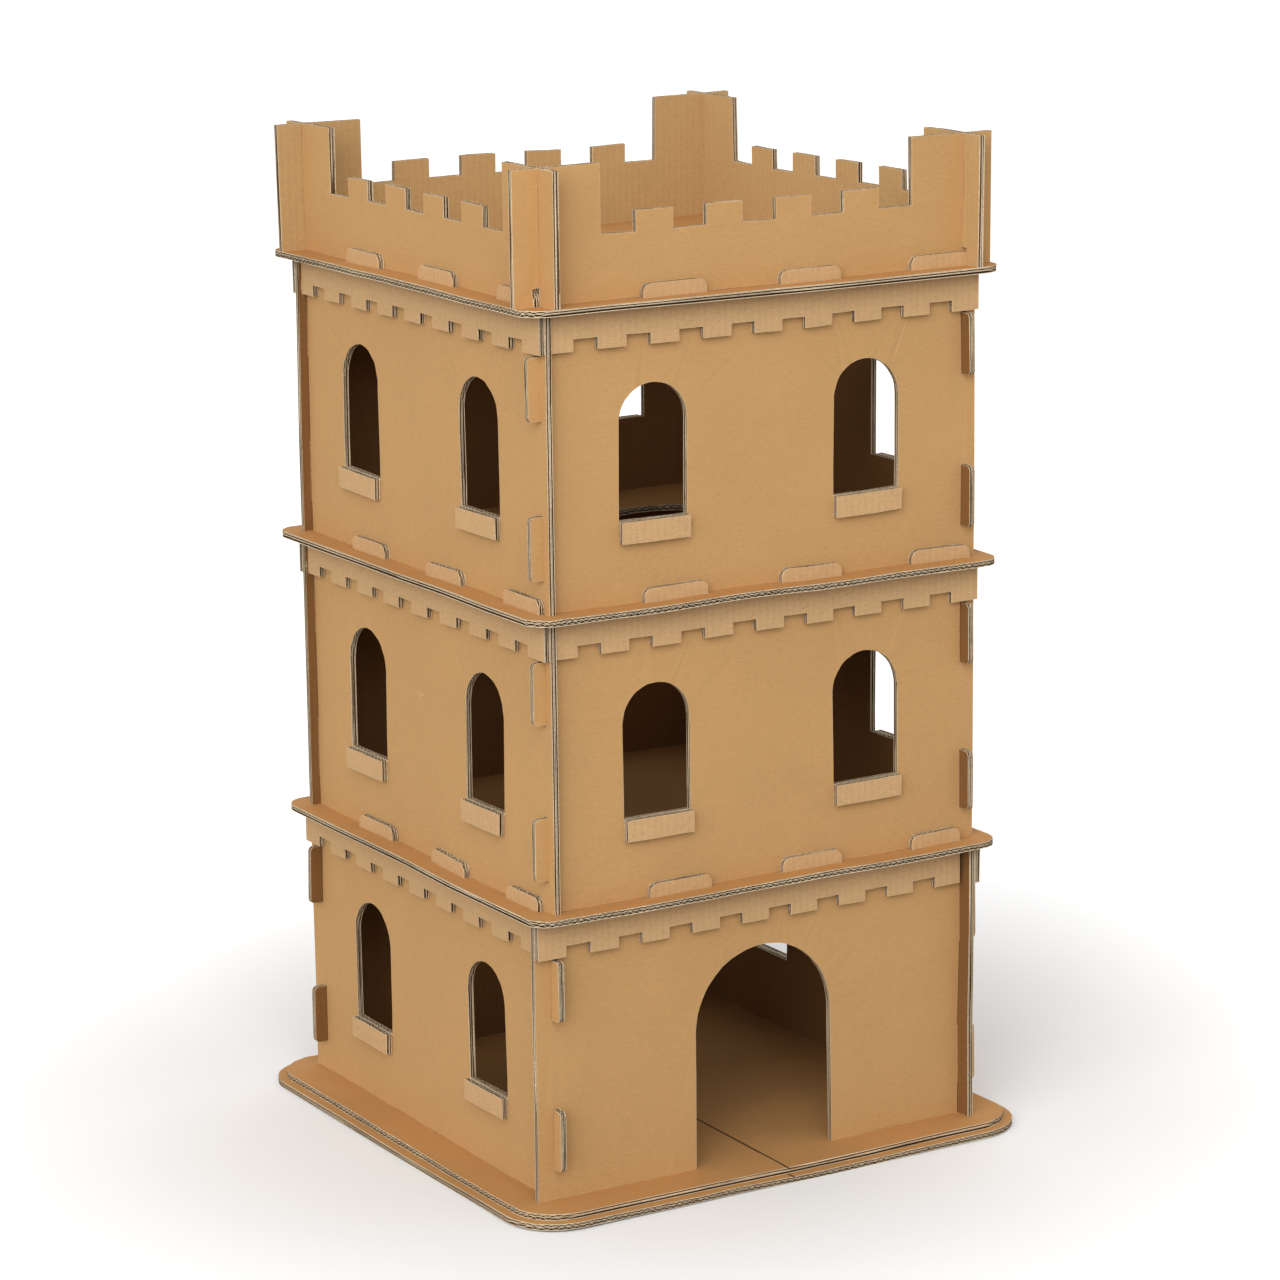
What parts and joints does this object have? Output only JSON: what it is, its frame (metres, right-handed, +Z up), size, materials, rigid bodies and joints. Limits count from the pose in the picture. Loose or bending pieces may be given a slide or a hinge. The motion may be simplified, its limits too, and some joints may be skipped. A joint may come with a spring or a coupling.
{
  "type": "cardboard castle",
  "caption": "Tall square castle tower for a cat, slotted together from corrugated board, with an arched doorway, arched windows, decks with climbing holes and a crenellated parapet.",
  "frame": {"origin": "middle of the underside of the lower base sheet, on the floor", "axes": "+Z up; -Y is the side with the doorway; +X is to the right seen from the front"},
  "size_m": [0.608, 0.608, 1.049],
  "materials": {
    "wall_board": "matt brown kraft corrugated board, raw cut edges",
    "deck_board": "matt brown kraft corrugated board, raw cut edges",
    "parapet_board": "matt brown kraft corrugated board, raw cut edges"
  },
  "bodies": {
    "root": {"base_lower_sheet": "deck_board", "base_upper_sheet": "deck_board", "ground_front_wall": "wall_board", "ground_right_wall": "wall_board", "ground_back_wall": "wall_board", "ground_left_wall": "wall_board", "middle_front_wall": "wall_board", "middle_right_wall": "wall_board", "middle_back_wall": "wall_board", "middle_left_wall": "wall_board", "upper_front_wall": "wall_board", "upper_right_wall": "wall_board", "upper_back_wall": "wall_board", "upper_left_wall": "wall_board", "lower_deck": "deck_board", "middle_deck": "deck_board", "top_deck": "deck_board", "front_parapet": "parapet_board", "right_parapet": "parapet_board", "back_parapet": "parapet_board", "left_parapet": "parapet_board"}
  },
  "joints": []
}
